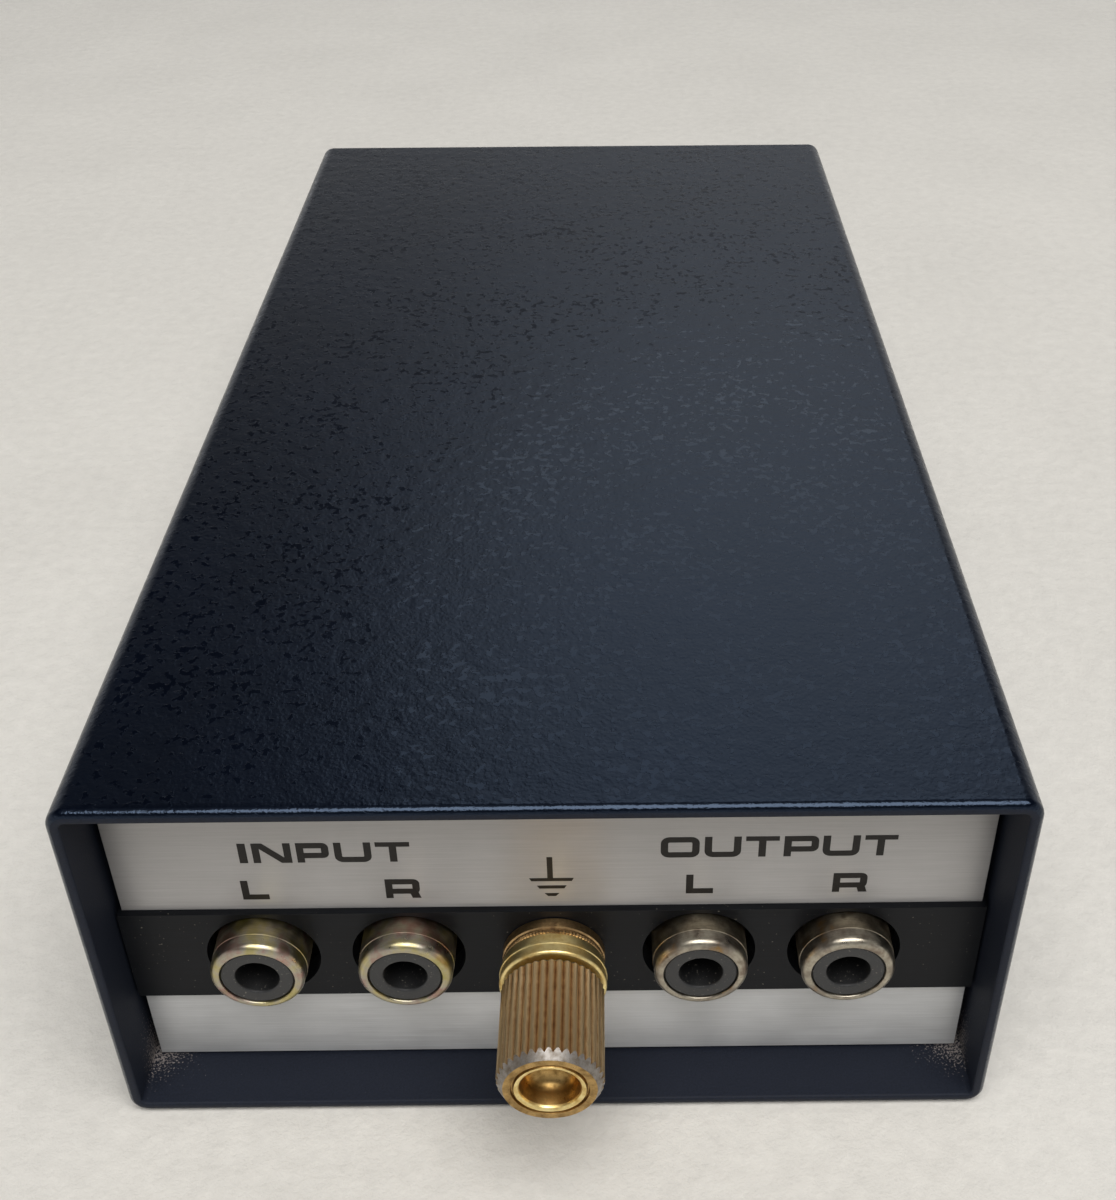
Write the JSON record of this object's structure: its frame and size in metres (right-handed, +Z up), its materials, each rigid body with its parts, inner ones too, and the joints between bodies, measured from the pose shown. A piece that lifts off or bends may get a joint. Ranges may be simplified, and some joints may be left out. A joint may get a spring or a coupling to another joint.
{
  "type": "stereo audio step-up transformer box",
  "caption": "Small painted sleeve box with phono input and output sockets, a knurled earth terminal between them, and screened transformers inside.",
  "frame": {"origin": "centre of the sleeve's underside, on the surface that the box stands on", "axes": "-Y is the front with the sockets, +X is to the right seen from the front, +Z is up"},
  "size_m": [0.08, 0.1542, 0.0395],
  "materials": {
    "sleeve_paint": "navy-black textured hammer paint",
    "black_panel": "black anodised, satin",
    "label_aluminium": "brushed lengthways, clear",
    "sheet_steel": "plain passivated sheet",
    "socket_board": "phenolic laminate",
    "socket_metal": "tarnished nickel plate",
    "socket_plastic": "satin dark grey",
    "terminal_brass": "turned and knurled",
    "terminal_collar": "brown nickel plate",
    "fastener_steel": "zinc plate",
    "screen_metal": "satin magnetic screening sheet",
    "core_steel": "stacked laminations",
    "winding_copper": "enamelled copper wire",
    "lead_sheath": "grey sheath",
    "earth_sheath": "green sheath"
  },
  "bodies": {
    "case": {"case_sleeve": "sleeve_paint", "front_panel": "black_panel", "rear_panel": "black_panel", "upper_label_plate": "label_aluminium", "lower_label_plate": "label_aluminium", "chassis_tray": "sheet_steel", "transformer_clamp_bar": "sheet_steel", "socket_board": "socket_board", "socket_shell_input_left": "socket_metal", "socket_shell_input_right": "socket_metal", "socket_shell_output_left": "socket_metal", "socket_shell_output_right": "socket_metal", "socket_contact_input_left": "socket_metal", "socket_contact_input_right": "socket_metal", "socket_contact_output_left": "socket_metal", "socket_contact_output_right": "socket_metal", "socket_tag_input_left": "socket_metal", "socket_tag_input_right": "socket_metal", "socket_tag_output_left": "socket_metal", "socket_tag_output_right": "socket_metal", "socket_nut_input_left": "socket_metal", "socket_nut_input_right": "socket_metal", "socket_nut_output_left": "socket_metal", "socket_nut_output_right": "socket_metal", "ground_solder_tag": "socket_metal", "socket_insulator_input_left": "socket_plastic", "socket_insulator_input_right": "socket_plastic", "socket_insulator_output_left": "socket_plastic", "socket_insulator_output_right": "socket_plastic", "ground_stud": "terminal_brass", "ground_base_collar": "terminal_collar", "ground_back_nut": "fastener_steel", "rear_screw_left": "fastener_steel", "rear_screw_right": "fastener_steel", "case_screw_front": "fastener_steel", "case_screw_rear": "fastener_steel", "clamp_screw": "fastener_steel", "clamp_nut": "fastener_steel", "panel_spacer_left": "fastener_steel", "panel_spacer_right": "fastener_steel", "panel_screw_left": "fastener_steel", "panel_screw_right": "fastener_steel", "board_rivet_left": "fastener_steel", "board_rivet_right": "fastener_steel", "transformer_can_left": "screen_metal", "transformer_can_right": "screen_metal", "transformer_lid_left": "screen_metal", "transformer_lid_right": "screen_metal", "transformer_core_left": "core_steel", "transformer_core_right": "core_steel", "transformer_winding_left": "winding_copper", "transformer_winding_right": "winding_copper", "lead_input_left": "lead_sheath", "lead_input_right": "lead_sheath", "lead_output_left": "lead_sheath", "lead_output_right": "lead_sheath", "lead_earth": "earth_sheath"},
    "clamp_washer": {"ground_clamp_washer": "terminal_brass"},
    "thumb_nut": {"ground_thumb_nut": "terminal_brass"}
  },
  "joints": [
    {"name": "clamp_slide", "type": "slide", "parent": "case", "child": "clamp_washer", "axis": [0, -1, 0], "range_m": [0, 0.0035]},
    {"name": "thumb_nut_turn", "type": "hinge", "parent": "clamp_washer", "child": "thumb_nut", "pos_m": [0, -0.0678, 0.0165], "axis": [0, -1, 0], "range_deg": [0, 1802]}
  ],
  "couplings": [
    {"joint": "thumb_nut_turn", "follows": "clamp_slide", "rad_per_m": 8976}
  ]
}
